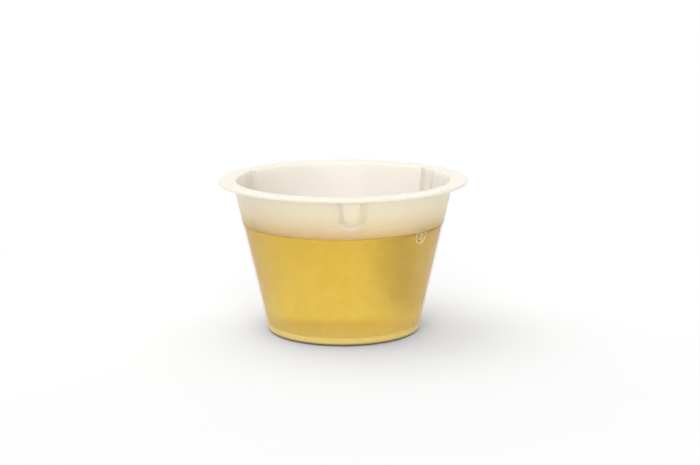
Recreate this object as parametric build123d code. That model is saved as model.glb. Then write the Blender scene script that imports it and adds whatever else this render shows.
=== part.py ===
from build123d import *

import os
from math import atan, cos, degrees, radians, sin, tan

# Specimen container: a shallow tapered cup, injection moulded in one piece of natural
# polypropylene, with a wide flat rim and three nest grooves, and the liquid specimen it holds.
#
# Frame: millimetres, +Z up. The origin is the centre of the foot, on the bench that the cup
# stands on. The first nest groove faces -Y, and the others follow at equal angles.

# ---- Driving dimensions, in mm, and in degrees where the name says so ----

# Outside of the cup
cup_height = 38.5
rim_diameter = 62.5
rim_thickness = 0.7
rim_reach = 3.6  # how far the rim stands out from the wall below it
foot_diameter = 38.6  # outside of the wall, carried down to the bench

# Walls
wall_thickness = 0.8  # square to the wall
floor_thickness = 1.2

# Edges and corners
rim_edge_bevel = 0.15
rim_root_bevel = 0.35  # under the rim, where it springs from the wall
lip_bevel = 0.2  # inner edge of the mouth
foot_edge_bevel = 0.4
floor_corner_radius = 1.6  # inside, where the floor turns up into the wall

# Underside of the foot
foot_ring_width = 2.4
foot_recess_depth = 0.4
foot_recess_draft_deg = 45.0
gate_pip_diameter = 2.6  # mark in the middle, where the plastic entered the mould
gate_pip_height = 0.2

# Nest grooves: hollow U-shaped grooves, open at the mouth, that stop stacked cups from wedging
groove_count = 3
groove_width = 5.2  # at the top of the rim
groove_length = 6.9  # from the top of the rim to the lowest point of the rounded end
groove_side_draft_deg = 6.0  # how far each side of a groove leans in, downwards
groove_mouth_depth = 0.6  # how deep the groove cuts into the wall's inner face at the mouth
groove_draft_deg = 2.0
groove_rib_bevel = 0.3  # outer edges of the wall that bulges round each groove

# Specimen
fill_height = 27.9  # liquid level above the bench

# ---- Sizes that follow from them ----

rim_underside = cup_height - rim_thickness
shoulder_diameter = rim_diameter - 2 * rim_reach  # outside of the wall, under the rim
wall_slope = (shoulder_diameter - foot_diameter) / 2 / rim_underside
wall_run = wall_thickness / cos(atan(wall_slope))  # the wall's thickness, measured level
groove_slope = tan(radians(groove_draft_deg))
groove_side_angle = radians(groove_side_draft_deg)
groove_end = cup_height - groove_length
groove_end_radius = (
    groove_width / 2 * cos(groove_side_angle) - groove_length * sin(groove_side_angle)
) / (1 - sin(groove_side_angle))
groove_end_centre = groove_end + groove_end_radius
recess_run = foot_recess_depth * tan(radians(foot_recess_draft_deg))


def wall_radius(height):
    """Outside radius of the plain wall at a height above the bench."""
    return foot_diameter / 2 + wall_slope * height


def cavity_radius(height):
    """Inside radius of the plain wall at a height above the bench."""
    return wall_radius(height) - wall_run


def groove_radius(height):
    """Radius of a groove's back face, which leans far less than the wall does."""
    at_mouth = cavity_radius(cup_height) + groove_mouth_depth
    return at_mouth - groove_slope * (cup_height - height)


def worked(section, operation, corners):
    """Rounds or bevels corners of a flat section, given as (radius from the axis, height, size)."""
    for along, height, size in corners:
        corner = section.vertices().sort_by_distance((along, 0, height))[0]
        section = operation(corner, size)
    return section


def turned(*corners):
    """A flat section in the XZ plane, through corners given as (radius from the axis, height)."""
    return make_face(Plane.XZ * Polyline(*corners, close=True))


def shell():
    """The turned form of the cup: recessed foot, tapered wall and flat rim, with eased edges."""
    ring_inside = foot_diameter / 2 - foot_ring_width
    mouth = cavity_radius(cup_height)
    floor_edge = cavity_radius(floor_thickness)
    rim_radius = rim_diameter / 2
    pip_radius = gate_pip_diameter / 2
    pip_end = foot_recess_depth - gate_pip_height
    section = turned(
        (0, pip_end),
        (pip_radius, pip_end),
        (pip_radius, foot_recess_depth),
        (ring_inside - recess_run, foot_recess_depth),
        (ring_inside, 0),
        (foot_diameter / 2, 0),
        (shoulder_diameter / 2, rim_underside),
        (rim_radius, rim_underside),
        (rim_radius, cup_height),
        (mouth, cup_height),
        (floor_edge, floor_thickness),
        (0, floor_thickness),
    )
    rounds = ((floor_edge, floor_thickness, floor_corner_radius),)
    bevels = (
        (foot_diameter / 2, 0, foot_edge_bevel),
        (shoulder_diameter / 2, rim_underside, rim_root_bevel),
        (rim_radius, rim_underside, rim_edge_bevel),
        (rim_radius, cup_height, rim_edge_bevel),
        (mouth, cup_height, lip_bevel),
    )
    section = worked(worked(section, fillet, rounds), chamfer, bevels)
    return revolve(section, Axis.Z)


def cavity():
    """What the turned form can hold, up to the top of the rim, without the nest grooves."""
    floor_edge = cavity_radius(floor_thickness)
    section = turned(
        (0, floor_thickness),
        (floor_edge, floor_thickness),
        (cavity_radius(cup_height), cup_height),
        (0, cup_height),
    )
    section = worked(section, fillet, ((floor_edge, floor_thickness, floor_corner_radius),))
    return revolve(section, Axis.Z)


def finger(end_radius, high, offset):
    """A U-shaped finger that points down the wall from the axis to a groove's back face.

    Its round end is centred on the groove's, its sides touch the round end and widen up to
    high, and its outer face stands offset outside the back face of the groove.
    """
    low = groove_end_centre - end_radius
    touch_along = end_radius * cos(groove_side_angle)
    touch_height = groove_end_centre - end_radius * sin(groove_side_angle)
    high_along = touch_along + (high - touch_height) * tan(groove_side_angle)
    sides = Polyline(
        (-touch_along, touch_height),
        (touch_along, touch_height),
        (high_along, high),
        (-high_along, high),
        close=True,
    )
    outline = Plane.XZ * (make_face(sides) + Pos(0, groove_end_centre) * Circle(end_radius))
    back = turned(
        (0, low),
        (groove_radius(low) + offset, low),
        (groove_radius(high) + offset, high),
        (0, high),
    )
    return extrude(outline, amount=rim_diameter / 2) & revolve(back, Axis.Z)


def all_round(one):
    """One feature on the -Y side, repeated at the angles of the nest grooves."""
    step = 360 / groove_count
    return [Rot(0, 0, step * turn) * one for turn in range(groove_count)]


def groove():
    """The hollow of one nest groove, from the axis out to its back face."""
    return finger(groove_end_radius, cup_height, 0)


def groove_rib():
    """The wall carried round one nest groove, as a bevelled rib that bulges outside the cup."""
    rib = finger(groove_end_radius + wall_thickness, rim_underside, wall_thickness)
    outer = rib.faces().filter_by(GeomType.CONE)[0]
    edges = [edge for edge in outer.edges() if edge.center().Z < rim_underside - rim_root_bevel]
    return chamfer(edges, groove_rib_bevel)


def cup():
    """The moulded cup: the turned shell with its nest grooves carried round in the wall."""
    return shell() + all_round(groove_rib() - cavity()) - all_round(groove())


def specimen_liquid():
    """The liquid: whatever the cup can hold below the fill height."""
    held = cavity() + all_round(groove())
    depth = Pos(0, 0, fill_height / 2) * Cylinder(rim_diameter / 2, fill_height)
    return held & depth


os.makedirs("parts", exist_ok=True)
for name, shape in (("cup", cup()), ("specimen_liquid", specimen_liquid())):
    export_step(shape, f"parts/{name}.step")
    print(f"{name}: {shape.volume / 1000:.2f} ml, {len(shape.solids())} solid, valid {shape.is_valid}")
print(f"brimful {cavity().volume / 1000:.1f} ml, wall draft {degrees(atan(wall_slope)):.1f} degrees")
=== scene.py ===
"""Visual model of a specimen container: a tapered polypropylene cup and the liquid it holds.

The cup and the liquid are turned surfaces on grids of two parameters: the row, which follows
the cup's section, and the column, which goes round its axis. Three nest grooves are pressed
into the wall by bending the grid round each groove's outline and moving its rings outwards.
Lengths are in metres in the studio and the meshes, and in millimetres everywhere else.
"""

import logging
from dataclasses import dataclass
from enum import Enum
from math import atan, cos, radians, sin
from typing import Any

import bpy
import numpy as np
from mathutils import Matrix, Vector

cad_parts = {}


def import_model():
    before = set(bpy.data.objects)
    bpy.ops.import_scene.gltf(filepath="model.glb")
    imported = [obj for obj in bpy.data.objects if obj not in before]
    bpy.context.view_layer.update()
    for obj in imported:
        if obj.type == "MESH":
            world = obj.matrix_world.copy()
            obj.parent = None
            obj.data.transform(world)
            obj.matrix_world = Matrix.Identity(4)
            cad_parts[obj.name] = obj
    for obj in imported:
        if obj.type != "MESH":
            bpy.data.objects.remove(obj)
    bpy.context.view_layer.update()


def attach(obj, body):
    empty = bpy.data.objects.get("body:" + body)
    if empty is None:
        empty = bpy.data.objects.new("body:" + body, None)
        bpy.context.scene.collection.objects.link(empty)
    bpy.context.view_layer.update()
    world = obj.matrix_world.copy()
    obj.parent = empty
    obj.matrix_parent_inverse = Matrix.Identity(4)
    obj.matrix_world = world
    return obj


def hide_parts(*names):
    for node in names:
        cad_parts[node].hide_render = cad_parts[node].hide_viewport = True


Tree = bpy.types.NodeTree
Socket = bpy.types.NodeSocket
Length = float | np.ndarray  # one length, or an array of lengths
Point = tuple[float, float]  # of a section: radius from the axis, and height
Rows = tuple[np.ndarray, ...]  # radii, heights, angles and creases, each rows by columns
Marks = tuple[tuple[float, Any], ...]  # places, each with a level or a hex colour

LOG = logging.getLogger("specimen_container")
MM = 0.001
TURN = 2 * np.pi
TINY = 1e-9
POLE_SPREAD = 1e-6  # a row whose points lie closer than this is a pole
CREASE = "crease"  # the mesh attribute that marks the grooves' inner corners
WHITE = (1.0, 1.0, 1.0, 1.0)

# Where several sockets of a node have one name, they go by number. A Map Range takes its value
# at 0, the ends of the range that comes in at 1 and 2, and those of the range that goes out at
# 3 and 4. A Mix takes its share at 0 and two numbers at 2 and 3, and these are for colours:
MIX_A, MIX_B, MIXED = 6, 7, 2


# ---------------------------------------------------------------- meshes and nodes


def grid_object(name: str, points: np.ndarray, crease: np.ndarray | None = None) -> bpy.types.Object:
    """Makes a closed turned surface from a grid of points.

    The faces join each point to its neighbours in the next row and column, and the last
    column joins the first. A first or last row that lies on one point becomes a pole.

    Args:
        name: The new object's name.
        points: Rows by columns by three, in millimetres. Rows go from the underside's pole up
            the outside, so that the faces point outwards.
        crease: Rows by columns, how far each point lies in a moulded corner, from 0 to 1.

    Returns:
        The object, linked to the scene, at the origin.
    """
    rows, columns = points.shape[:2]
    row, column = np.meshgrid(np.arange(rows - 1), np.arange(columns), indexing="ij")
    this, above, beside = row * columns, (row + 1) * columns, (column + 1) % columns
    corners = np.stack([this + column, this + beside, above + beside, above + column], axis=-1)
    flat = points.reshape(-1, 3)
    index = np.arange(len(flat))
    for first, end in ((0, columns), (len(flat) - columns, len(flat))):
        if np.ptp(flat[first:end], axis=0).max() < POLE_SPREAD:
            index[first:end] = first
    used, packed = np.unique(index[corners.reshape(-1, 4)], return_inverse=True)
    packed = packed.reshape(-1, 4)
    low = packed[:, 0] == packed[:, 1]
    poles = low | (packed[:, 2] == packed[:, 3])
    triangles = np.where(low[:, None], packed[:, [0, 2, 3]], packed[:, [0, 1, 2]])[poles]
    mesh = bpy.data.meshes.new(name)
    mesh.from_pydata((flat[used] * MM).tolist(), [], packed[~poles].tolist() + triangles.tolist())
    mesh.polygons.foreach_set("use_smooth", np.ones(len(mesh.polygons), dtype=bool))
    if crease is not None:
        shares = mesh.attributes.new(CREASE, "FLOAT", "POINT")
        shares.data.foreach_set("value", crease.reshape(-1)[used].astype(np.float32))
    mesh.validate()
    mesh.update()
    made = bpy.data.objects.new(name, mesh)
    bpy.context.scene.collection.objects.link(made)
    return made


def turned(radius: Length, height: Length, angle: Length) -> np.ndarray:
    """Points at a radius, height and angle: x is radius * cos(angle), y is radius * sin(angle)."""
    flat = (radius * np.cos(angle), radius * np.sin(angle), height)
    return np.stack(np.broadcast_arrays(*flat), axis=-1)


def eased(share: np.ndarray) -> np.ndarray:
    """A share from 0 to 1 that starts and ends gently: 3 t^2 - 2 t^3."""
    return share * share * (3 - 2 * share)


def rounded_corner(before: Point, corner: Point, after: Point, radius: float, steps: int) -> np.ndarray:
    """Points on the arc that rounds a corner of a section.

    The arc touches both edges at radius / tan(half the corner's angle) from the corner, and
    its points divide its angle evenly.

    Args:
        before: A point on the edge that comes in.
        corner: The sharp corner.
        after: A point on the edge that goes out.
        radius: The arc's radius.
        steps: How many pieces the arc has.

    Returns:
        Steps + 1 points, from the edge that comes in to the edge that goes out.
    """
    before, corner, after = (np.asarray(point, dtype=float) for point in (before, corner, after))
    to_before = (before - corner) / np.linalg.norm(before - corner)
    to_after = (after - corner) / np.linalg.norm(after - corner)
    half = np.arccos(np.clip(to_before @ to_after, -1, 1)) / 2
    middle = to_before + to_after
    centre = corner + middle / np.linalg.norm(middle) * radius / np.sin(half)
    start = corner + to_before * radius / np.tan(half) - centre
    end = corner + to_after * radius / np.tan(half) - centre
    sweep = np.pi - 2 * half
    share = np.linspace(0, 1, steps + 1)[:, None]
    return centre + (np.sin((1 - share) * sweep) * start + np.sin(share * sweep) * end) / np.sin(sweep)


def colour(code: str) -> tuple[float, float, float, float]:
    """Turns an sRGB hex colour into the linear values that Blender's sockets take.

    Args:
        code: Six hex digits after a hash sign.

    Returns:
        Linear red, green, blue, and an alpha of one.
    """
    parts = (int(code[i : i + 2], 16) / 255 for i in (1, 3, 5))
    red, green, blue = (p / 12.92 if p <= 0.04045 else ((p + 0.055) / 1.055) ** 2.4 for p in parts)
    return red, green, blue, 1.0


def add(
    tree: Tree, kind: str, settings: dict | None = None, links: dict | None = None, output: Any = 0
) -> Socket | None:
    """Adds one node to a material or world.

    Args:
        tree: The node tree.
        kind: The node's type name, after "ShaderNode".
        settings: Property or socket values, by name or number.
        links: Output sockets to join to this node's inputs, by name or number.
        output: Which of the node's own outputs is wanted, by name or number.

    Returns:
        That output's socket, or None for a node without outputs.
    """
    made = tree.nodes.new("ShaderNode" + kind)
    for name, value in (settings or {}).items():
        if isinstance(name, str) and hasattr(made, name):
            setattr(made, name, value)
        else:
            made.inputs[name].default_value = value
    for name, source in (links or {}).items():
        tree.links.new(source, made.inputs[name])
    return made.outputs[output] if made.outputs else None


def set_stops(ramp: Socket, marks: Marks) -> Socket:
    """Spreads a colour ramp's stops over marks.

    Args:
        ramp: The output of a colour ramp.
        marks: Places from 0 to 1, in order.

    Returns:
        The same output.
    """
    stops = ramp.node.color_ramp.elements
    while len(stops) < len(marks):
        stops.new(0.5)
    for stop, (place, value) in zip(stops, marks):
        stop.position = place
        stop.color = colour(value) if isinstance(value, str) else (value, value, value, 1.0)
    return ramp


def soft_pattern(tree: Tree, place: Socket, size: float, upright: float = 1.0) -> Socket:
    """A soft random pattern.

    Args:
        tree: The node tree.
        place: The place in metres.
        size: The pattern's size in millimetres.
        upright: How much finer it is along the cup's axis; less than one draws it out.

    Returns:
        The pattern, about 0.5 in the mean.
    """
    drawn = add(tree, "VectorMath", {"operation": "MULTIPLY", 1: (1.0, 1.0, upright)}, {0: place})
    settings = {"Scale": 1 / (size * MM), "Detail": 2.0, "Roughness": 0.5}
    return add(tree, "TexNoise", settings, {"Vector": drawn}, "Fac")


def empty_material(name: str) -> tuple[bpy.types.Material, Tree]:
    """Makes a material with no nodes.

    Args:
        name: The material's name.

    Returns:
        The material and its node tree.
    """
    made = bpy.data.materials.new(name)
    made.use_nodes = True
    made.node_tree.nodes.clear()
    return made, made.node_tree


# ---------------------------------------------------------------- finishes


@dataclass(frozen=True)
class NaturalPolypropylene:
    """Uncoloured polypropylene, injection moulded.

    Its crystals scatter light, so the wall looks milky, and clearer where liquid wets it. The
    mould's fine texture leaves a soft gloss, and the plastic's flow leaves faint upright
    lines. The wall's colour also holds painted light, the light that the liquid has coloured,
    most at the foot, and painted shade along the foot's lower edge and in the grooves' inner
    corners.
    """

    name: str = "moulded_natural_polypropylene"
    # Height, and how much of what is behind one face shows there
    clear_by_height: Marks = (
        (0.0, 0.86), (27.0, 0.86), (27.9, 0.78), (28.6, 0.62),
        (30.0, 0.52), (32.0, 0.44), (37.0, 0.3), (37.9, 0.05),
    )
    # Height, and the share of that clearness which the outer face keeps near the bench
    foot_clear_by_height: Marks = (
        (0.0, 0.05), (0.7, 0.1), (1.8, 0.4), (2.4, 0.84), (5.0, 0.87), (9.0, 0.95), (12.0, 1.0),
    )
    # Height, and the plastic's colour with painted light in it, the light that the liquid has coloured,
    # and painted shade along the foot's lower edge, darkest at the bench; it is also darker at the level
    tint_by_height: Marks = (
        (0.0, "#2E281E"), (0.4, "#6E6046"), (0.7, "#D6BD78"), (1.0, "#F8DD84"), (3.2, "#FFE98E"),
        (6.5, "#FFDF70"), (12.0, "#F6D37A"), (26.5, "#F0CB70"), (27.7, "#DDB866"), (28.4, "#EFD08A"),
        (29.4, "#F3DDAA"), (31.0, "#F5E5C1"), (34.0, "#F6EBD0"), (37.5, "#F5EEDA"), (37.9, "#E9E4D5"),
    )
    # Height, and the outer face's grey to light that bounces, darker near the bench: painted
    # shade, which deepens the paper's shadow round the foot
    bounce_by_height: Marks = ((0.0, "#505050"), (4.0, "#A0A0A0"), (10.0, "#DCDCDC"))
    bounce_tint: str = "#DCDCDC"  # of the inner face, to light that bounces
    inside_tint: str = "#FEFBF2"  # of the inner face above the liquid
    floor_tint: str = "#FDF6DC"  # of the cup's floor, lit through the liquid
    floor_clear: float = 0.2
    # the underside's colour holds painted light, the light that the liquid has coloured
    underside_tint: str = "#E8CD8A"
    underside_clear: float = 0.5
    ledge_tint: str = "#FFFAE8"  # of the ledge at a groove's round end
    ledge_clear: float = 0.25
    # painted shade in the grooves' inner corners: a grey-brown tint on a milkier wall
    crease_shade_tint: str = "#A59A80"
    crease_clear: float = 0.5
    crease_shade_inside: float = 0.35  # how strong the painted shade in a crease looks from inside; through the wall it is 1
    # Masks: a name, where the mask is 0, and where it is 1, by how far up a face points and by
    # height. Wet and dry meet at the liquid's level, 27.9.
    facing_bands: tuple[tuple[str, float, float], ...] = (("up", 0.4, 0.95), ("down", -0.8, -0.97))
    height_bands: tuple[tuple[str, float, float], ...] = (
        ("at_floor", 2.2, 1.3),
        ("at_foot", 6.0, 5.0),
        ("below_mouth", 36.0, 34.0),
        ("above_liquid", 28.5, 29.5),
        ("wet", 28.9, 27.9),
        ("dry", 27.7, 28.1),
    )
    middle_height: float = 3.0  # outer faces point away from this place on the axis
    cloud_size: float = 3.5  # of the haze's soft clouds
    cloud_depth: float = 0.035
    flow_size: float = 1.2  # width of the faint lines that the plastic's flow leaves
    flow_depth: float = 0.03
    flow_upright: float = 0.08  # draws those lines out along the cup's axis
    grain_size: float = 0.22  # of the mould's texture, drawn coarser than it is, so that it shows
    grain_height: float = 0.004
    grain_strength: Point = (0.05, 0.6)  # inside and outside
    pattern_span: Point = (0.25, 0.75)  # the values that a soft pattern keeps to
    along_from: float = 0.55  # how far a wall turns from the eye before it gets less clear
    clear_along: float = 0.85  # how much of the clearness is left where the wall is seen edge on
    clear_along_dry: float = 0.3  # the same, above the liquid
    clear_to_bounces: float = 0.1  # what light that bounces finds of it
    through_share: float = 0.12  # of the light that the milky share passes on
    roughness: float = 0.28
    roughness_spread: float = 0.06
    haze_roughness: float = 0.5
    haze_ior: float = 1.15  # lower than the plastic's, as both faces of the wall bend light back
    ior: float = 1.49
    top: float = 38.5

    def by_height(self, tree: Tree, height: Socket, marks: Marks) -> Socket:
        """A level or colour that changes evenly with height from mark to mark.

        Args:
            tree: The node tree.
            height: The height in metres.
            marks: Heights in millimetres, each with its level or colour.

        Returns:
            The level or colour.
        """
        share = add(tree, "Math", {"operation": "DIVIDE", 1: self.top * MM}, {0: height})
        places = tuple((level / self.top, value) for level, value in marks)
        return set_stops(add(tree, "ValToRGB", links={0: share}), places)

    def masks(self, tree: Tree) -> dict[str, Socket]:
        """Finds where each treatment of the wall holds.

        Args:
            tree: The node tree.

        Returns:
            The place, the height and the masks, which run from 0 to 1, by name.
        """
        place = add(tree, "TexCoord", output="Object")
        normal = add(tree, "TexCoord", output="Normal")
        height = add(tree, "SeparateXYZ", links={0: place}, output="Z")
        upward = add(tree, "SeparateXYZ", links={0: normal}, output="Z")
        middle = (0.0, 0.0, self.middle_height * MM)
        away = add(tree, "VectorMath", {"operation": "SUBTRACT", 1: middle}, {0: place})
        outwards = add(tree, "VectorMath", {"operation": "DOT_PRODUCT"}, {0: normal, 1: away}, "Value")
        rays = add(tree, "LightPath").node.outputs
        behind = add(tree, "NewGeometry", output="Backfacing")
        found = {
            "place": place,
            "height": height,
            "outer": add(tree, "Math", {"operation": "GREATER_THAN", 1: 0.0}, {0: outwards}),
            "behind": behind,
            "corner": add(tree, "Attribute", {"attribute_name": CREASE}, output="Fac"),
            # how strong the painted shade in the grooves' inner corners is, full through the wall
            "strength": add(tree, "MapRange", {3: self.crease_shade_inside}, {0: behind}),
            "bounced": rays["Is Diffuse Ray"],
            "shadow": rays["Is Shadow Ray"],
        }
        for source, unit, bands in ((upward, 1.0, self.facing_bands), (height, MM, self.height_bands)):
            for name, nothing, whole in bands:
                found[name] = add(tree, "MapRange", {1: nothing * unit, 2: whole * unit}, {0: source})
        for name, operation, first, second in (
            ("crease", "MULTIPLY", "corner", "strength"),
            ("inner_floor", "MULTIPLY", "up", "at_floor"),
            ("beside_groove", "MULTIPLY", "below_mouth", "above_liquid"),
            ("ledge", "MULTIPLY", "up", "beside_groove"),
            ("underside", "MULTIPLY", "down", "at_foot"),
            ("dry_inside", "SUBTRACT", "above_liquid", "outer"),
            ("front", "SUBTRACT", "outer", "behind"),
            ("wet_bounced", "MULTIPLY", "wet", "bounced"),
            ("dry_bounced", "MULTIPLY", "dry", "bounced"),
            ("outer_wet", "MULTIPLY", "outer", "wet"),
            ("cast", "MAXIMUM", "bounced", "shadow"),
            ("outer_cast", "MULTIPLY", "cast", "outer_wet"),
            ("closed", "MAXIMUM", "outer_cast", "dry_bounced"),
        ):
            settings = {"operation": operation, "use_clamp": True}
            found[name] = add(tree, "Math", settings, {0: found[first], 1: found[second]})
        return found

    def tint(self, tree: Tree, masks: dict[str, Socket]) -> Socket:
        """The plastic's colour, with its painted light and shade, which light that bounces sees
        as plain grey below the level.

        Args:
            tree: The node tree.
            masks: The masks by name.

        Returns:
            The colour.
        """
        mixed = self.by_height(tree, masks["height"], self.tint_by_height)
        for name, code in (
            ("dry_inside", self.inside_tint),
            ("inner_floor", self.floor_tint),
            ("underside", self.underside_tint),
            ("ledge", self.ledge_tint),
            # painted shade in the grooves' inner corners
            ("crease", self.crease_shade_tint),
        ):
            settings = {"data_type": "RGBA", MIX_B: colour(code)}
            mixed = add(tree, "Mix", settings, {0: masks[name], MIX_A: mixed}, MIXED)
        grey = self.by_height(tree, masks["height"], self.bounce_by_height)
        settings = {"data_type": "RGBA", MIX_A: colour(self.bounce_tint)}
        grey = add(tree, "Mix", settings, {0: masks["outer"], MIX_B: grey}, MIXED)
        links = {0: masks["wet_bounced"], MIX_A: mixed, MIX_B: grey}
        return add(tree, "Mix", {"data_type": "RGBA"}, links, MIXED)

    def clearness(self, tree: Tree, masks: dict[str, Socket]) -> Socket:
        """How much of what is behind one face shows.

        It is a product of what height, angle of view, place and the two soft patterns leave.
        Light that bounces, and shadows below the level, find the wall nearly closed.

        Args:
            tree: The node tree.
            masks: The masks by name.

        Returns:
            The share, from 0 to 1.
        """
        facing = add(tree, "LayerWeight", {"Blend": 0.5}, output="Facing")
        least = add(tree, "MapRange", {3: self.clear_along, 4: self.clear_along_dry}, {0: masks["dry"]})
        factors = [add(tree, "MapRange", {1: self.along_from, 3: 1.0}, {0: facing, 4: least})]
        for name, left in (
            # milkier under the painted shade in the grooves' inner corners
            ("crease", self.crease_clear),
            ("inner_floor", self.floor_clear),
            ("ledge", self.ledge_clear),
        ):
            factors.append(add(tree, "MapRange", {3: 1.0, 4: left}, {0: masks[name]}))
        foot = self.by_height(tree, masks["height"], self.foot_clear_by_height)
        factors.append(add(tree, "Mix", {2: 1.0}, {0: masks["front"], 3: foot}))
        clear = self.by_height(tree, masks["height"], self.clear_by_height)
        for factor in factors:
            clear = add(tree, "Math", {"operation": "MULTIPLY"}, {0: clear, 1: factor})
        clear = add(tree, "Mix", {3: self.underside_clear}, {0: masks["underside"], 2: clear})
        low, high = self.pattern_span
        for size, upright, depth in (
            (self.cloud_size, 1.0, self.cloud_depth),
            (self.flow_size, self.flow_upright, self.flow_depth),
        ):
            pattern = soft_pattern(tree, masks["place"], size, upright)
            settings = {1: low, 2: high, 3: 1 - depth, 4: 1 + depth}
            wave = add(tree, "MapRange", settings, {0: pattern})
            clear = add(tree, "Math", {"operation": "MULTIPLY"}, {0: clear, 1: wave})
        return add(tree, "Mix", {3: self.clear_to_bounces}, {0: masks["closed"], 2: clear})

    def milky(self, tree: Tree, masks: dict[str, Socket]) -> Socket:
        """The share of the wall that scatters light: a grained skin, and what shines through it.

        Args:
            tree: The node tree.
            masks: The masks by name.

        Returns:
            The shader.
        """
        grain = soft_pattern(tree, masks["place"], self.grain_size)
        tint = self.tint(tree, masks)
        spread = {3: self.roughness - self.roughness_spread, 4: self.roughness + self.roughness_spread}
        low, high = self.pattern_span
        rough = add(tree, "MapRange", {1: low, 2: high, **spread}, {0: grain})
        inside, outside = self.grain_strength
        strength = add(tree, "MapRange", {3: inside, 4: outside}, {0: masks["outer"]})
        settings = {"Distance": self.grain_height * MM}
        bump = add(tree, "Bump", settings, {"Height": grain, "Strength": strength})
        links = {"Base Color": tint, "Roughness": rough, "Normal": bump}
        skin = add(tree, "BsdfPrincipled", {"IOR": self.ior}, links)
        through = add(tree, "BsdfTranslucent", links={"Color": tint})
        return add(tree, "MixShader", {0: self.through_share}, {1: skin, 2: through})

    def material(self) -> bpy.types.Material:
        """Mixes the milky share with a clear one, which is straight where wet and hazy where dry.

        Returns:
            The material.
        """
        made, tree = empty_material(self.name)
        masks = self.masks(tree)
        straight = add(tree, "BsdfTransparent", {"Color": WHITE})
        settings = {"Color": WHITE, "IOR": self.haze_ior, "Roughness": self.haze_roughness}
        hazy = add(tree, "BsdfRefraction", settings)
        clear = add(tree, "MixShader", links={0: masks["dry"], 1: straight, 2: hazy})
        share = self.clearness(tree, masks)
        wall = add(tree, "MixShader", links={0: share, 1: self.milky(tree, masks), 2: clear})
        add(tree, "OutputMaterial", links={"Surface": wall})
        return made


@dataclass(frozen=True)
class AmberSpecimen:
    """A clear amber liquid with a faint cloudiness.

    It bends light as water does and takes up blue most, so it is pale where it is thin and
    golden where it is deep. Its still surface is glossy, its sides are softened by the
    plastic, and a thin darker line of painted shade marks the meniscus, seen through the wall.
    """

    name: str = "amber_specimen"
    ior: float = 1.335
    density: float = 90.0  # scales the next values, and any number above all three does
    taken_up: tuple[float, float, float] = (5.0, 12.6, 68.0)  # for each metre, red to blue
    side_roughness: float = 0.3
    top_roughness: float = 0.05
    top_facing: Point = (0.3, 0.7)  # how far up a face points where the still surface takes over
    meniscus_shade_tint: str = "#B98A34"  # painted shade where the meniscus is seen edge on through the wall
    line_height: float = 0.5
    cloud_tint: str = "#FBF4E2"
    cloud_size: float = 5.0
    cloud_span: Point = (0.35, 0.7)  # the pattern's values from no cloud to a whole one
    level: float = 27.9

    def material(self) -> bpy.types.Material:
        """Builds the material.

        Returns:
            The material.
        """
        made, tree = empty_material(self.name)
        place = add(tree, "TexCoord", output="Object")
        normal = add(tree, "TexCoord", output="Normal")
        height = add(tree, "SeparateXYZ", links={0: place}, output="Z")
        upward = add(tree, "SeparateXYZ", links={0: normal}, output="Z")
        cloud = soft_pattern(tree, place, self.cloud_size)
        line_span = ((self.level - self.line_height) * MM, self.level * MM)
        spans = ((upward, self.top_facing), (height, line_span), (cloud, self.cloud_span))
        top, line, cloudy = (
            add(tree, "MapRange", {1: low, 2: high}, {0: source}) for source, (low, high) in spans
        )
        rough = add(tree, "MapRange", {3: self.side_roughness, 4: self.top_roughness}, {0: top})
        # the band of painted meniscus shade, on the sides just below the level
        edge = add(tree, "Math", {"operation": "SUBTRACT", "use_clamp": True}, {0: line, 1: top})
        settings = {"data_type": "RGBA", MIX_A: WHITE, MIX_B: colour(self.cloud_tint)}
        tone = add(tree, "Mix", settings, {0: cloudy}, MIXED)
        settings = {"data_type": "RGBA", MIX_B: colour(self.meniscus_shade_tint)}
        tone = add(tree, "Mix", settings, {0: edge, MIX_A: tone}, MIXED)
        settings = {"IOR": self.ior, "Transmission Weight": 1.0}
        surface = add(tree, "BsdfPrincipled", settings, {"Roughness": rough, "Base Color": tone})
        tint = (*(1 - share / self.density for share in self.taken_up), 1.0)
        inside = add(tree, "VolumeAbsorption", {"Color": tint, "Density": self.density})
        add(tree, "OutputMaterial", links={"Surface": surface, "Volume": inside})
        return made


# ---------------------------------------------------------------- the cup


class Side(Enum):
    """Which face of the wall a groove is pressed into."""

    OUTSIDE = "outside"
    INSIDE = "inside"


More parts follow.
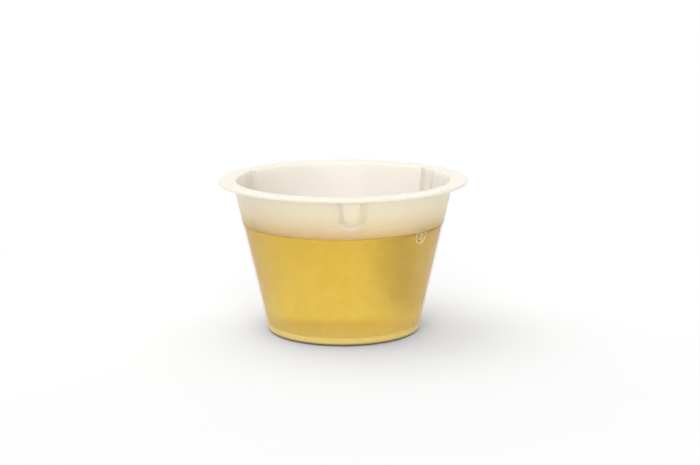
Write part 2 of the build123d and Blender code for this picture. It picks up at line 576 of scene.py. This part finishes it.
@dataclass
class SpecimenCup:
    """The moulded cup: foot, tapered wall, flat rim and three nest grooves."""

    height: float = 38.5
    rim_radius: float = 31.235
    rim_thickness: float = 0.7
    shoulder_radius: float = 27.65
    foot_radius: float = 19.3
    wall_thickness: float = 0.8
    floor_thickness: float = 1.2
    rim_edge_round: float = 0.22
    rim_root_round: float = 0.5
    lip_round: float = 0.33
    foot_edge_round: float = 0.5
    floor_corner_round: float = 1.6
    foot_ring_width: float = 2.4
    foot_recess_depth: float = 0.4
    recess_round: float = 0.15
    gate_pip_radius: float = 1.3
    gate_pip_height: float = 0.2
    gate_pip_draft: float = 0.02  # how much wider the pip is at its root
    gate_pip_round: float = 0.08
    groove_count: int = 3
    groove_half_width: float = 2.6  # at the top of the rim
    groove_length: float = 6.9
    groove_side_lean: float = 0.1051  # tangent of six degrees
    groove_lean_reach: float = 1.0  # over which the sides start to lean
    groove_mouth_depth: float = 0.6
    groove_draft: float = 0.0349  # tangent of two degrees
    groove_side_reach: Point = (0.26, 0.2)  # a groove's side, in and out of its outline
    rib_side_reach: Point = (0.75, 0.85)
    crease_reach: float = 0.3
    fade_start: float = 1.2  # where the bend round a groove starts to fade, in half widths
    zone_reach: float = 1.9  # and where it has faded out
    # Rows and columns of the grid
    middle_rings: int = 6
    side_rings: int = 11
    outer_rings: tuple[float, ...] = (0.12, 0.3, 0.6, 1.0)  # shares of the way to the zone's reach
    straight_rows: int = 8
    wall_rows: int = 10
    rim_rows: int = 5
    floor_rows: int = 9
    floor_step: float = 1.0  # from the floor's corner to its first row
    pip_row: float = 0.5
    recess_rows: int = 7
    recess_start: float = 3.0
    recess_step: float = 0.6  # from the recess's last row to its edge
    small_arc: int = 3
    edge_arc: int = 4
    root_arc: int = 6
    foot_arc: int = 7
    floor_arc: int = 9
    columns_between: int = 36

    @property
    def rim_underside(self) -> float:
        """Height of the rim's lower face."""
        return self.height - self.rim_thickness

    @property
    def wall_slope(self) -> float:
        """How much the wall's radius grows for each millimetre of height."""
        return (self.shoulder_radius - self.foot_radius) / self.rim_underside

    @property
    def wall_run(self) -> float:
        """The wall's thickness, measured level."""
        return self.wall_thickness / cos(atan(self.wall_slope))

    @property
    def groove_end_radius(self) -> float:
        """Radius of a groove's round end, which its leaning sides touch."""
        lean = atan(self.groove_side_lean)
        return (self.groove_half_width * cos(lean) - self.groove_length * sin(lean)) / (1 - sin(lean))

    @property
    def arc_height(self) -> float:
        """Height of the middle of the grooves' round ends."""
        return self.height - self.groove_length + self.groove_end_radius

    def wall_radius(self, height: Length, side: Side) -> Length:
        """Radius of the plain wall: the foot's radius plus the slope times the height."""
        run = self.wall_run if side is Side.INSIDE else 0.0
        return self.foot_radius + self.wall_slope * height - run

    def wall_point(self, height: float, side: Side) -> Point:
        """A point of the plain wall's straight line, which runs on past its ends."""
        return float(self.wall_radius(height, side)), height

    def plain_wall(self, low: float, high: float, side: Side) -> np.ndarray:
        """Points of the plain wall's straight line between two heights, both left out."""
        height = np.linspace(low, high, self.wall_rows + 2)[1:-1]
        return np.stack([self.wall_radius(height, side), height], axis=1)

    def half_width(self, side: Side) -> float:
        """Radius of a groove's round end, or of the rib's round end outside."""
        return self.groove_end_radius + (self.wall_thickness if side is Side.OUTSIDE else 0.0)

    def side_reach(self, side: Side) -> Point:
        """How far a groove's side runs inside its outline and outside it."""
        return self.rib_side_reach if side is Side.OUTSIDE else self.groove_side_reach

    def rings(self, side: Side) -> np.ndarray:
        """Distances of the grid's rings from a groove's middle.

        They crowd across the groove's side, at 1 + offset / half width, where the offset
        runs from its inner reach to its outer reach.

        Args:
            side: The wall's outside or inside.

        Returns:
            The distances, in half widths.
        """
        deep, near = self.side_reach(side)
        edge = 1 + np.linspace(-deep, near, self.side_rings) / self.half_width(side)
        middle = np.linspace(0, edge[0], self.middle_rings, endpoint=False)
        beyond = edge[-1] + (self.zone_reach - edge[-1]) * np.array(self.outer_rings)
        return np.concatenate([middle, edge, beyond])

    def columns(self, side: Side) -> np.ndarray:
        """Distances of the columns from a groove's middle line."""
        return self.rings(side) * self.half_width(side)

    def pressed(self, ring: np.ndarray, height: np.ndarray, side: Side) -> np.ndarray:
        """How far the groove moves the wall outwards.

        The full depth is the groove's back face less the plain wall. It falls to nothing
        across the groove's side as 3 t^2 - 2 t^3, with t = (outer reach - offset) / (inner
        reach + outer reach), so both edges are rounded and the side is steep between them.

        Args:
            ring: Distance from the groove's middle, in half widths.
            height: Height above the bench.
            side: The wall's outside or inside.

        Returns:
            The movement.
        """
        mouth = self.wall_radius(self.height, Side.INSIDE) + self.groove_mouth_depth
        back = mouth - self.groove_draft * (self.height - height)
        back += self.wall_thickness if side is Side.OUTSIDE else 0.0
        deep, near = self.side_reach(side)
        share = np.clip((near - (ring - 1) * self.half_width(side)) / (deep + near), 0, 1)
        return (back - self.wall_radius(height, side)) * eased(share)

    def crease(self, ring: np.ndarray, side: Side) -> np.ndarray:
        """How far points lie in a groove's side: exp(-(offset / reach)^2), and 0 outside."""
        depth = 0.0 if side is Side.OUTSIDE else 1.0
        return depth * np.exp(-(((ring - 1) * self.half_width(side) / self.crease_reach) ** 2))

    def bend(self, across: np.ndarray, along: np.ndarray, side: Side) -> tuple[np.ndarray, ...]:
        """Bends the grid round the half-round end of a groove.

        Below the arc's middle, squares of half side s become circles of radius s: across and
        along are each multiplied by sqrt(1 - (the other / s)^2 / 2). Beyond the groove's edge
        this fades out, until the grid is square again at the zone's reach. Above the arc's
        middle the columns lean out, by the lean times (rise + sqrt(rise^2 + reach^2)) / 2.

        Args:
            across: Distance from the groove's middle line, in half widths, from 0 up.
            along: Height above the arc's middle, in half widths.
            side: The wall's outside or inside.

        Returns:
            Across and along after bending, in millimetres, and the ring of each point.
        """
        below = np.minimum(along, 0.0)
        ring = np.maximum(across, -below)
        safe = np.maximum(ring, TINY)
        fade = eased(np.clip((self.zone_reach - ring) / (self.zone_reach - self.fade_start), 0, 1))
        squeeze_across = np.sqrt(1 - (below / safe) ** 2 / 2)
        squeeze_along = np.where(along < 0, np.sqrt(1 - (across / safe) ** 2 / 2), 1.0)
        half = self.half_width(side)
        rise = along * (1 + fade * (squeeze_along - 1)) * half
        lean = self.groove_side_lean * (rise + np.sqrt(rise**2 + self.groove_lean_reach**2)) / 2
        return across * (1 + fade * (squeeze_across - 1)) * (half + lean), rise, ring

    def angles(self, across: np.ndarray, radius: np.ndarray) -> np.ndarray:
        """Angles of one half sector's columns, from a groove's middle to the next half way.

        Near the groove the angle is arcsin(across / radius), so that its sides stay parallel.
        Beyond, the columns share out what is left of the half sector evenly.

        Args:
            across: Distances from the groove's middle line, rows by columns.
            radius: Radii of the same points.

        Returns:
            Angles, rows by more columns.
        """
        near = np.arcsin(across / radius)
        share = np.linspace(0, 1, self.columns_between + 1)[1:]
        edge = near[:, -1:]
        return np.concatenate([near, edge + share * (TURN / 2 / self.groove_count - edge)], axis=1)

    def widen(self, values: np.ndarray) -> np.ndarray:
        """Repeats a grid's last column over the columns between two grooves."""
        return np.concatenate([values, np.repeat(values[:, -1:], self.columns_between, axis=1)], axis=1)

    def groove_zone(self, side: Side, top: float) -> Rows:
        """The half sector of wall that holds half a groove, from below its end up to a height.

        Args:
            side: The wall's outside or inside.
            top: Height of the last row.

        Returns:
            Its rows, from the lowest up.
        """
        rings = self.rings(side)
        reach = (top - self.arc_height) / self.half_width(side)
        straight = np.linspace(0, reach, self.straight_rows + 1)[1:]
        along = np.concatenate([-rings[::-1], straight])[:, None]
        across, rise, ring = self.bend(rings[None, :], along, side)
        height = self.arc_height + rise
        radius = self.wall_radius(height, side) + self.pressed(ring, height, side)
        creases = self.widen(self.crease(ring, side))
        return self.widen(radius), self.widen(height), self.angles(across, radius), creases

    def plain(self, section: np.ndarray, across: np.ndarray) -> Rows:
        """Rows of the surface that no groove reaches.

        Args:
            section: Points (radius, height), from the first row to the last.
            across: The columns' distances from a groove's middle line.

        Returns:
            The rows.
        """
        reference = np.full((len(section), 1), self.wall_radius(self.arc_height, Side.INSIDE))
        angle = self.angles(np.repeat(across[None, :], len(section), axis=0), reference)
        radius = np.repeat(section[:, :1], angle.shape[1], axis=1)
        height = np.repeat(section[:, 1:], angle.shape[1], axis=1)
        return radius, height, angle, np.zeros_like(radius)

    def moved_section(self, zone: Rows, section: np.ndarray) -> Rows:
        """Rows that carry a zone's last row on along a section, with the groove's movement.

        Args:
            zone: A groove zone.
            section: Points (radius, height) that start where the plain wall of the zone ends.

        Returns:
            The rows of the section's points after its first.
        """
        radius, height, angle, crease = (values[-1:] for values in zone)
        step = section[1:] - section[:1]
        moved = radius + step[:, :1]
        near = slice(None, radius.shape[1] - self.columns_between)
        across = np.repeat((radius * np.sin(angle))[:, near], len(step), axis=0)
        creases = crease * np.linspace(1, 0, len(step))[:, None]
        return moved, height + step[:, 1:], self.angles(across, moved[:, near]), creases

    def between(self, first: Rows, last: Rows) -> Rows:
        """Rows between the last row of one part and the first of the next, evenly spaced."""
        share = np.linspace(0, 1, self.rim_rows + 2)[1:-1, None]
        return tuple(a[-1:] * (1 - share) + b[:1] * share for a, b in zip(first, last))

    def underside(self) -> np.ndarray:
        """The section from the gate pip over the foot's recess and ring, up to the wall.

        Returns:
            Points (radius, height), from the axis outwards.
        """
        pip_end = self.foot_recess_depth - self.gate_pip_height
        ring_inside = self.foot_radius - self.foot_ring_width
        pip = (self.gate_pip_radius, pip_end)
        pip_root = (self.gate_pip_radius + self.gate_pip_draft, self.foot_recess_depth)
        recess = (ring_inside - self.foot_recess_depth, self.foot_recess_depth)
        ring = (ring_inside, 0.0)
        foot = (self.foot_radius, 0.0)
        wall = self.wall_point(self.height, Side.OUTSIDE)
        flat = np.linspace(self.recess_start, recess[0] - self.recess_step, self.recess_rows)
        return np.concatenate(
            [
                [(0.0, pip_end), (self.pip_row, pip_end)],
                rounded_corner((0.0, pip_end), pip, pip_root, self.gate_pip_round, self.small_arc),
                rounded_corner(pip, pip_root, recess, self.gate_pip_round, self.small_arc),
                np.stack([flat, np.full_like(flat, self.foot_recess_depth)], axis=1),
                rounded_corner(pip_root, recess, ring, self.recess_round, self.small_arc),
                rounded_corner(recess, ring, foot, self.recess_round, self.small_arc),
                rounded_corner(ring, foot, wall, self.foot_edge_round, self.foot_arc),
            ]
        )

    def floor(self) -> np.ndarray:
        """The section from the inside wall round the floor's corner to its middle.

        Returns:
            Points (radius, height), from the wall inwards.
        """
        corner = self.wall_point(self.floor_thickness, Side.INSIDE)
        wall = self.wall_point(self.height, Side.INSIDE)
        centre = (0.0, self.floor_thickness)
        arc = rounded_corner(wall, corner, centre, self.floor_corner_round, self.floor_arc)
        flat = np.linspace(arc[-1, 0] - self.floor_step, 0, self.floor_rows)
        return np.concatenate([arc, np.stack([flat, np.full_like(flat, self.floor_thickness)], axis=1)])

    def rim_edge(self) -> np.ndarray:
        """The section of the rim's outer edge, rounded below and above.

        Returns:
            Points (radius, height), from the underside up.
        """
        low, high = (self.rim_radius, self.rim_underside), (self.rim_radius, self.height)
        inner = self.shoulder_radius
        below = rounded_corner((inner, low[1]), low, high, self.rim_edge_round, self.edge_arc)
        above = rounded_corner(low, high, (inner, high[1]), self.rim_edge_round, self.edge_arc)
        return np.concatenate([below, above])

    def all_round(self, rows: Rows) -> tuple[np.ndarray, np.ndarray]:
        """Mirrors the half sector and repeats the sector round the axis.

        Args:
            rows: Radii, heights, angles and creases of the half sector.

        Returns:
            Points, rows by all columns by three, and their creases. The first groove faces -Y.
        """
        sector = TURN / self.groove_count
        radius, height, angle, crease = rows
        angle = np.concatenate([angle, sector - angle[:, -2:0:-1]], axis=1)
        around = np.concatenate([angle + sector * i - TURN / 4 for i in range(self.groove_count)], axis=1)
        radius, height, crease = (
            np.tile(np.concatenate([values, values[:, -2:0:-1]], axis=1), (1, self.groove_count))
            for values in (radius, height, crease)
        )
        return turned(radius, height, around), crease

    def build(self) -> bpy.types.Object:
        """Builds the cup as one closed surface, from the gate pip up the outside and down inside.

        Returns:
            The cup's object.
        """
        outside, inside = Side.OUTSIDE, Side.INSIDE
        shoulder = (self.shoulder_radius, self.rim_underside)
        reach = (self.rim_radius, self.rim_underside)
        below = self.wall_point(0.0, outside)
        root = rounded_corner(below, shoulder, reach, self.rim_root_round, self.root_arc)
        mouth = self.wall_point(self.height, inside)
        below, reach = self.wall_point(0.0, inside), (self.rim_radius, self.height)
        lip = rounded_corner(below, mouth, reach, self.lip_round, self.root_arc)
        outer = self.groove_zone(outside, float(root[0, 1]))
        inner = self.groove_zone(inside, float(lip[0, 1]))
        outer_end = self.moved_section(outer, root)
        inner_end = tuple(values[::-1] for values in self.moved_section(inner, lip))
        rim = self.plain(self.rim_edge(), (self.columns(outside) + self.columns(inside)) / 2)

        foot, floor = self.underside(), self.floor()
        wall = self.plain_wall(float(foot[-1, 1]), float(outer[1][0, 0]), outside)
        base = self.plain(np.concatenate([foot, wall]), self.columns(outside))
        wall = self.plain_wall(float(floor[0, 1]), float(inner[1][0, 0]), inside)[::-1]
        well = self.plain(np.concatenate([wall, floor]), self.columns(inside))

        parts = [base, outer, outer_end, self.between(outer_end, rim), rim, self.between(rim, inner_end)]
        parts += [inner_end, tuple(values[::-1] for values in inner), well]
        rows = tuple(np.concatenate([part[i] for part in parts]) for i in range(4))
        return grid_object("cup_shell", *self.all_round(rows))

    def dress(self, shell: bpy.types.Object) -> None:
        """Gives the shell its finish and its place in the frame.

        Args:
            shell: The cup's object.
        """
        shell.data.materials.append(NaturalPolypropylene().material())
        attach(shell, "root")
        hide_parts("cup")


# ---------------------------------------------------------------- the liquid


@dataclass
class SpecimenLiquid:
    """The liquid that the cup holds, up to its level."""

    cup: SpecimenCup
    level: float = 27.9
    creep: float = 0.05  # how far the surface climbs at the wall
    creep_reach: float = 1.1
    overlap: float = 0.45  # how far it reaches into the plastic, so that no gap shows
    columns: int = 192
    floor_rows: int = 9
    floor_step: float = 0.5  # from the floor's last row to its corner
    corner_arc: int = 12
    side_rows: int = 25
    brink: Point = (0.04, 0.02)  # how far in and down the surface's rounded edge reaches
    near_rows: tuple[float, float, int] = (0.12, 6.0, 18)  # first and last distance inward, and count
    far_rows: tuple[float, int] = (8.0, 8)  # first distance inward, and count

    def edge(self, height: Length) -> Length:
        """Radius of the liquid's side at a height."""
        return self.cup.wall_radius(height, Side.INSIDE) + self.overlap

    def section(self) -> np.ndarray:
        """The section from the floor's middle, up the wall, to the middle of the surface.

        Near the wall the surface climbs: its height is level + creep times
        exp(-distance from the wall / creep reach).

        Returns:
            Points (radius, height).
        """
        low = self.cup.floor_thickness - self.overlap
        high = self.level + self.creep
        edge = float(self.edge(high))
        corner = (float(self.edge(low)), low)
        bend = self.cup.floor_corner_round + self.overlap
        arc = rounded_corner((0.0, low), corner, (edge, high), bend, self.corner_arc)
        flat = np.linspace(0.0, arc[0, 0] - self.floor_step, self.floor_rows)
        floor = np.stack([flat, np.full_like(flat, low)], axis=1)
        rise = np.linspace(arc[-1, 1], high - self.brink[1], self.side_rows + 1)[1:]
        side = np.stack([self.edge(rise), rise], axis=1)
        first, count = self.far_rows
        far = np.linspace(first, edge, count)
        inward = np.concatenate([self.brink[:1], np.geomspace(*self.near_rows), far])
        climb = self.creep * np.exp(-inward / self.creep_reach)
        surface = np.stack([edge - inward, self.level + climb], axis=1)
        surface[-1, 0] = 0.0
        return np.concatenate([floor, arc, side, surface])

    def build(self) -> bpy.types.Object:
        """Builds the liquid as one closed surface of revolution.

        Returns:
            The liquid's object.
        """
        section = self.section()
        angle = np.linspace(0, TURN, self.columns, endpoint=False)
        return grid_object("specimen_liquid_body", turned(section[:, :1], section[:, 1:], angle))

    def dress(self, liquid: bpy.types.Object) -> None:
        """Gives the liquid its finish and its place in the frame.

        Args:
            liquid: The liquid's object.
        """
        liquid.data.materials.append(AmberSpecimen().material())
        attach(liquid, "root")
        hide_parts("specimen_liquid")


# ---------------------------------------------------------------- the moulded mark


@dataclass
class CavityMark:
    """A raised ring round a plain cavity number, moulded on the wall."""

    cup: SpecimenCup
    azimuth: float = 44.2  # degrees from the first groove, towards +X
    height: float = 26.9
    ring_radius: float = 1.8
    ring_points: int = 48
    ridge_width: float = 0.42
    ridge_height: float = 0.16
    ridge_root: float = 0.2  # how far the ridge reaches into the wall
    ridge_end_angles: tuple[float, ...] = (0.0, 30.0, 60.0)  # degrees, on an end's quarter circle
    ridge_clear: float = 0.72
    ridge_tint: str = "#F6E8C6"
    profile_points: int = 14
    bow_sweep: tuple[float, float, int] = (165.0, -25.0, 16)  # the two's bow: degrees, and points
    bow_size: Point = (0.48, 0.44)  # half its width and half its height
    bow_height: float = 0.42
    foot_level: float = -0.8
    foot_ends: Point = (-0.5, 0.52)
    neck_round: float = 0.12
    neck_arc: int = 4

    def on_wall(self, across: np.ndarray, up: np.ndarray, proud: np.ndarray) -> np.ndarray:
        """Lays points of a flat drawing on the wall.

        Args:
            across: Distance to the right, seen from outside.
            up: Distance up the wall's slope.
            proud: Distance out from the wall.

        Returns:
            The points in space.
        """
        lean = atan(self.cup.wall_slope)
        base = self.height + up * cos(lean)
        radius = self.cup.wall_radius(base, Side.OUTSIDE) + proud * cos(lean)
        middle = self.cup.wall_radius(self.height, Side.OUTSIDE)
        return turned(radius, base - proud * sin(lean), radians(self.azimuth) - TURN / 4 + across / middle)

    def ridge(self, name: str, path: np.ndarray, closed: bool) -> bpy.types.Object:
        """Carries a half-round ridge along a path on the wall.

        The ridge's section is width / 2 * cos(a) across and height * sin(a) out of the wall,
        and its root goes below the wall's face. At the ends of an open path it shrinks to a
        point as a quarter circle does.

        Args:
            name: The object's name.
            path: Points (across, up), in order.
            closed: Whether the last point joins the first.

        Returns:
            The ridge's object.
        """
        if closed:
            forward = np.roll(path, -1, axis=0) - np.roll(path, 1, axis=0)
            size = np.ones(len(path))
        else:
            ends = np.radians(self.ridge_end_angles)
            forward = np.gradient(path, axis=0)
            unit = forward / np.linalg.norm(forward, axis=1, keepdims=True)
            reach = (self.ridge_width / 2 * np.cos(ends))[:, None]
            path = np.concatenate([path[0] - unit[0] * reach, path, path[-1] + unit[-1] * reach[::-1]])
            first, last = (np.repeat(end, len(ends), axis=0) for end in (unit[:1], unit[-1:]))
            forward = np.concatenate([first, unit, last])
            size = np.concatenate([np.sin(ends), np.ones(len(unit)), np.sin(ends)[::-1]])
        unit = forward / np.linalg.norm(forward, axis=1, keepdims=True)
        side = np.stack([unit[:, 1], -unit[:, 0]], axis=1)
        turn = np.linspace(0, TURN, self.profile_points, endpoint=False)
        across = self.ridge_width / 2 * np.cos(turn)
        out = np.where(np.sin(turn) > 0, self.ridge_height, self.ridge_root) * np.sin(turn)
        flat = path[:, None, :] + side[:, None, :] * (across[None, :, None] * size[:, None, None])
        points = self.on_wall(flat[..., 0], flat[..., 1], out[None, :] * size[:, None])
        if closed:
            points = np.concatenate([points, points[:1]])
        return grid_object(name, points)

    def number_two(self) -> np.ndarray:
        """The path of a plain figure two: a bow, a slanting neck and a foot.

        Returns:
            Points (across, up).
        """
        bow = np.radians(np.linspace(*self.bow_sweep))
        wide, tall = self.bow_size
        top = np.stack([wide * np.cos(bow), self.bow_height + tall * np.sin(bow)], axis=1)
        left, right = ((end, self.foot_level) for end in self.foot_ends)
        turn = rounded_corner(tuple(top[-1]), left, right, self.neck_round, self.neck_arc)
        return np.concatenate([top, turn, [(0.0, self.foot_level), right]])

    def build(self) -> list[bpy.types.Object]:
        """Builds the ring and the number.

        Returns:
            The two objects.
        """
        angle = np.linspace(0, TURN, self.ring_points, endpoint=False)
        ring = self.ring_radius * np.stack([np.cos(angle), np.sin(angle)], axis=1)
        return [self.ridge("mark_ring", ring, True), self.ridge("mark_number", self.number_two(), False)]

    def dress(self, ridges: list[bpy.types.Object]) -> None:
        """Gives the ridges the cup's plastic, milkier than the wall as it is thicker there.

        Args:
            ridges: The mark's objects.
        """
        ends = (0.0, self.cup.rim_underside)
        plastic = NaturalPolypropylene(
            name="moulded_natural_polypropylene_ridge",
            clear_by_height=tuple((height, self.ridge_clear) for height in ends),
            tint_by_height=tuple((height, self.ridge_tint) for height in ends),
        ).material()
        for piece in ridges:
            piece.data.materials.append(plastic)
            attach(piece, "root")


# ---------------------------------------------------------------- the studio


@dataclass
class Studio:
    """A plain pale floor, soft lamps and the camera, in metres."""

    floor_radius: float = 2.5
    floor_drop: float = -0.00005  # under the cup's foot, so that the two don't touch
    floor_first_ring: float = 0.02
    floor_rings: int = 12
    floor_columns: int = 96
    floor_tint: str = "#E4E4E4"
    # painted shade: the paper darker near the camera
    near_floor_tint: str = "#D4D4D4"
    floor_shade: Point = (-0.14, 0.02)  # Y from the near tint to the far one
    floor_fade: Point = (0.035, 0.14)  # distance from the cup from paper to plain white
    bounce_tint: str = "#E6E6E4"  # of the floor, to all but the camera and gloss
    world_level: float = 0.9
    window_level: float = 0.95  # of the room, seen through liquid
    bench_level: float = 0.9  # of the floor, seen through liquid
    # How far a direction points left, and the share of the level there, seen through liquid.
    # Darker to the left, so that the liquid's right side is darker: the room's light, and painted
    # shade on the paper
    side_tones: Marks = (
        (-1.0, 0.78), (-0.6, 0.8), (-0.3, 1.0), (0.02, 1.0), (0.1, 0.64), (0.2, 0.33), (0.45, 0.25),
    )
    # Each lamp's name, place, side and power in watts
    lamps: tuple[tuple[str, tuple[float, float, float], float, float], ...] = (
        ("overhead", (0.0, 0.35, 1.0), 1.2, 2.3),
        ("key", (-0.42, 0.15, 0.95), 0.9, 2.6),
        ("front", (-0.1, -0.85, 0.42), 0.7, 3.4),
    )
    lens: float = 79.37  # this and the sensor in millimetres
    sensor_width: float = 36.0
    distance: float = 0.3923
    azimuth: float = -4.2
    elevation: float = 12.04
    roll: float = 0.32
    aim: tuple[float, float, float] = (0.0, 0.0, 0.020)
    shift: Point = (6.64 / 700, 17.65 / 700)  # shares of the picture's width
    clip: Point = (0.01, 20.0)

    def side_tone(self, tree: Tree, way: Socket) -> Socket:
        """How light the room is in a direction, seen through liquid, and the paper's painted shade there.

        Args:
            tree: The node tree.
            way: The direction, of any length.

        Returns:
            The share of the level.
        """
        unit = add(tree, "VectorMath", {"operation": "NORMALIZE"}, {0: way})
        settings = {"operation": "DOT_PRODUCT", 1: (-1.0, 0.0, 0.0)}
        left = add(tree, "VectorMath", settings, {0: unit}, "Value")
        share = add(tree, "MapRange", {1: -1.0}, {0: left})
        marks = tuple(((place + 1) / 2, level) for place, level in self.side_tones)
        return set_stops(add(tree, "ValToRGB", links={0: share}), marks)

    def paper(self) -> bpy.types.Material:
        """White matt paper, laid under the cup and out of sight from below.

        It is plain white to the camera away from the cup, and a little darker near the camera as
        painted shade. Seen through the liquid it takes the side tones, painted shade that darkens
        the liquid's right side.

        Returns:
            The material.
        """
        made, tree = empty_material("white_paper")
        rays = add(tree, "LightPath").node.outputs
        seen, through = rays["Is Camera Ray"], rays["Is Transmission Ray"]
        direct = add(tree, "Math", {"operation": "MAXIMUM"}, {0: seen, 1: rays["Is Glossy Ray"]})
        place = add(tree, "TexCoord", output="Object")
        away = add(tree, "SeparateXYZ", links={0: place}, output="Y")
        low, high = self.floor_shade
        back = add(tree, "MapRange", {1: low, 2: high}, {0: away})
        tints = {MIX_A: colour(self.near_floor_tint), MIX_B: colour(self.floor_tint)}
        tone = add(tree, "Mix", {"data_type": "RGBA", **tints}, {0: back}, MIXED)
        settings = {"data_type": "RGBA", MIX_A: colour(self.bounce_tint)}
        tone = add(tree, "Mix", settings, {0: direct, MIX_B: tone}, MIXED)
        # the paper seen through the liquid: painted shade, darker towards the left
        settings = {"operation": "MULTIPLY", 1: self.bench_level}
        bench = add(tree, "Math", settings, {0: self.side_tone(tree, place)})
        tone = add(tree, "Mix", {"data_type": "RGBA"}, {0: through, MIX_A: tone, MIX_B: bench}, MIXED)
        matt = add(tree, "BsdfDiffuse", links={"Color": tone})
        white = add(tree, "Emission", {"Color": WHITE, "Strength": 1.0})
        reach = add(tree, "VectorMath", {"operation": "LENGTH"}, {0: place}, "Value")
        low, high = self.floor_fade
        far = add(tree, "MapRange", {"interpolation_type": "SMOOTHSTEP", 1: low, 2: high}, {0: reach})
        plain = add(tree, "Math", {"operation": "MULTIPLY"}, {0: far, 1: seen})
        matt = add(tree, "MixShader", links={0: plain, 1: matt, 2: white})
        below = add(tree, "NewGeometry", output="Backfacing")
        unseen = add(tree, "BsdfTransparent")
        both = add(tree, "MixShader", links={0: below, 1: matt, 2: unseen})
        add(tree, "OutputMaterial", links={"Surface": both})
        return made

    def floor(self) -> None:
        """Lays a round floor: rings whose radius grows evenly in its logarithm, from a point."""
        rings = np.geomspace(self.floor_first_ring, self.floor_radius, self.floor_rings)
        radius = np.concatenate([[0.0], rings])[::-1, None] / MM
        angle = np.linspace(0, TURN, self.floor_columns, endpoint=False)
        made = grid_object("floor", turned(radius, self.floor_drop / MM, angle))
        made.data.materials.append(self.paper())

    def world(self) -> None:
        """Lights the room with soft white.

        Seen through liquid, the level is the window level times the side tone. The camera
        and gloss see plain white.
        """
        made = bpy.data.worlds.new("studio_room")
        made.use_nodes = True
        tree = made.node_tree
        tree.nodes.clear()
        rays = add(tree, "LightPath").node.outputs
        seen, through = rays["Is Camera Ray"], rays["Is Transmission Ray"]
        way = add(tree, "TexCoord", output="Generated")
        settings = {"operation": "MULTIPLY", 1: self.window_level}
        window = add(tree, "Math", settings, {0: self.side_tone(tree, way)})
        level = add(tree, "Mix", {2: self.world_level}, {0: through, 3: window})
        direct = add(tree, "Math", {"operation": "MAXIMUM"}, {0: seen, 1: rays["Is Glossy Ray"]})
        level = add(tree, "Mix", {3: 1.0}, {0: direct, 2: level})
        light = add(tree, "Background", {"Color": WHITE}, {"Strength": level})
        add(tree, "OutputWorld", links={"Surface": light})
        bpy.context.scene.world = made

    def lamp(self, name: str, place: tuple[float, float, float], size: float, power: float) -> None:
        """Hangs a white square soft lamp that faces the cup.

        Args:
            name: The lamp's name.
            place: Where it hangs.
            size: Its side.
            power: Its power in watts.
        """
        data = bpy.data.lights.new(name, "AREA")
        data.shape = "SQUARE"
        data.size = size
        data.energy = power
        made = bpy.data.objects.new(name, data)
        made.location = place
        made.rotation_euler = (Vector(self.aim) - Vector(place)).to_track_quat("-Z", "Y").to_euler()
        bpy.context.scene.collection.objects.link(made)

    def camera(self) -> None:
        """Sets the camera on its azimuth and elevation, with a slight roll and shift."""
        data = bpy.data.cameras.new("camera")
        data.lens = self.lens
        data.sensor_width = self.sensor_width
        data.sensor_fit = "HORIZONTAL"
        data.shift_x, data.shift_y = self.shift
        data.clip_start, data.clip_end = self.clip
        turn, rise, lean = radians(self.azimuth), radians(self.elevation), radians(self.roll)
        back = Vector((sin(turn) * cos(rise), -cos(turn) * cos(rise), sin(rise)))
        right = Vector((0, 0, 1)).cross(back).normalized()
        up = back.cross(right)
        side = right * cos(lean) - up * sin(lean)
        top = up * cos(lean) + right * sin(lean)
        made = bpy.data.objects.new("camera", data)
        place = Vector(self.aim) + back * self.distance
        made.matrix_world = Matrix.Translation(place) @ Matrix((side, top, back)).transposed().to_4x4()
        bpy.context.scene.collection.objects.link(made)
        bpy.context.scene.camera = made

    def build(self) -> None:
        """Lays the floor, hangs the lamps and sets the camera and the view transform."""
        self.floor()
        self.world()
        for lamp in self.lamps:
            self.lamp(*lamp)
        self.camera()
        bpy.context.scene.view_settings.view_transform = "Standard"


def main() -> None:
    """Builds the pieces in order, dresses them, and sets the studio."""
    logging.basicConfig(level=logging.INFO, format="%(message)s")
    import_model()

    cup = SpecimenCup()
    shell = cup.build()
    cup.dress(shell)
    LOG.info("%s: %d faces", shell.name, len(shell.data.polygons))

    specimen = SpecimenLiquid(cup)
    liquid = specimen.build()
    specimen.dress(liquid)
    LOG.info("%s: %d faces", liquid.name, len(liquid.data.polygons))

    mark = CavityMark(cup)
    ridges = mark.build()
    mark.dress(ridges)
    for piece in ridges:
        LOG.info("%s: %d faces", piece.name, len(piece.data.polygons))

    Studio().build()


if __name__ == "__main__":
    main()
